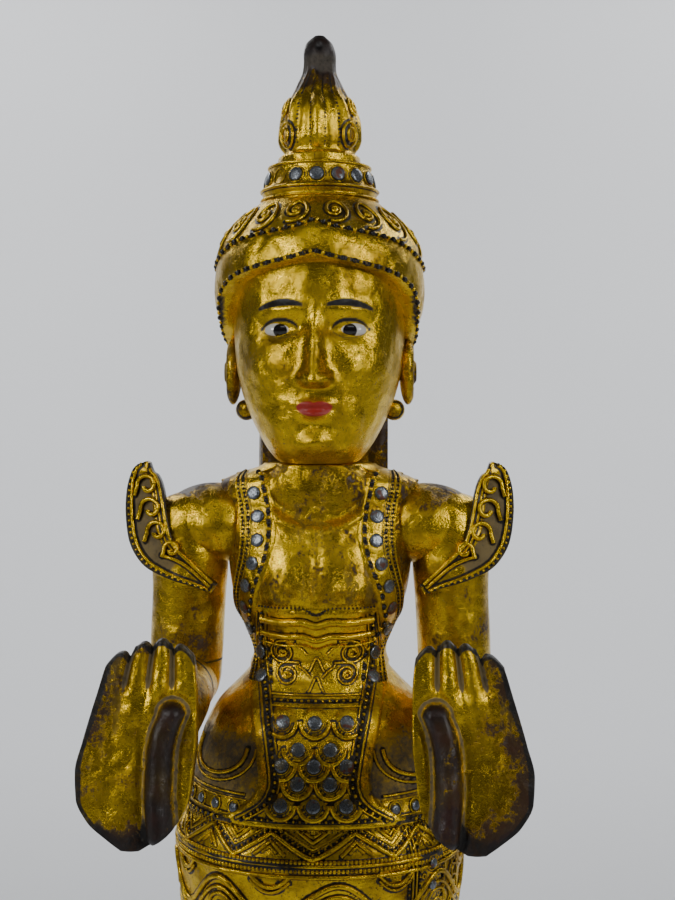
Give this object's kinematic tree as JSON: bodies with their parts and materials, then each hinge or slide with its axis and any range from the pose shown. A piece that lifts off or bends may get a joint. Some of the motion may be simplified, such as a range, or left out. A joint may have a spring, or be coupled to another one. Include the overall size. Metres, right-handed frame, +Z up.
{
  "type": "nat statue",
  "caption": "Standing gilded wooden guardian figure in tiered crown and royal dress, palms raised, with inlaid mirror pieces, on a low plinth.",
  "frame": {"origin": "centre of the plinth's underside", "axes": "+Z up to the crown, -Y the way the figure faces, +X toward the figure's left hand"},
  "size_m": [0.27, 0.3034, 0.9303],
  "materials": {
    "gilded_wood": "gold leaf over dark lacquer, worn",
    "lacquered_wood": "dark red-brown lacquer",
    "mirror_glass": "dulled mirror glass",
    "eye_glass": "opaque white glass with black pupil"
  },
  "bodies": {
    "root": {"apron_mirror_01": "mirror_glass", "apron_mirror_02": "mirror_glass", "apron_mirror_03": "mirror_glass", "apron_mirror_04": "mirror_glass", "apron_mirror_05": "mirror_glass", "apron_mirror_06": "mirror_glass", "apron_mirror_07": "mirror_glass", "apron_mirror_08": "mirror_glass", "apron_mirror_09": "mirror_glass", "apron_mirror_10": "mirror_glass", "apron_mirror_11": "mirror_glass", "apron_mirror_12": "mirror_glass", "apron_mirror_13": "mirror_glass", "base": "lacquered_wood", "crown_mirror_01": "mirror_glass", "crown_mirror_02": "mirror_glass", "crown_mirror_03": "mirror_glass", "crown_mirror_04": "mirror_glass", "crown_mirror_05": "mirror_glass", "crown_mirror_06": "mirror_glass", "crown_mirror_07": "mirror_glass", "crown_mirror_08": "mirror_glass", "crown_mirror_09": "mirror_glass", "crown_mirror_10": "mirror_glass", "crown_mirror_11": "mirror_glass", "crown_mirror_12": "mirror_glass", "crown_mirror_13": "mirror_glass", "crown_mirror_14": "mirror_glass", "crown_mirror_16": "mirror_glass", "figure": "gilded_wood", "left_band_mirror_01": "mirror_glass", "left_band_mirror_02": "mirror_glass", "left_band_mirror_03": "mirror_glass", "left_band_mirror_04": "mirror_glass", "left_band_mirror_05": "mirror_glass", "left_band_mirror_06": "mirror_glass", "left_band_mirror_07": "mirror_glass", "left_band_mirror_08": "mirror_glass", "left_band_mirror_09": "mirror_glass", "left_eye": "eye_glass", "left_forearm": "gilded_wood", "right_band_mirror_01": "mirror_glass", "right_band_mirror_02": "mirror_glass", "right_band_mirror_03": "mirror_glass", "right_band_mirror_04": "mirror_glass", "right_band_mirror_05": "mirror_glass", "right_band_mirror_06": "mirror_glass", "right_band_mirror_07": "mirror_glass", "right_band_mirror_08": "mirror_glass", "right_band_mirror_09": "mirror_glass", "right_eye": "eye_glass", "right_forearm": "gilded_wood"}
  },
  "joints": []
}
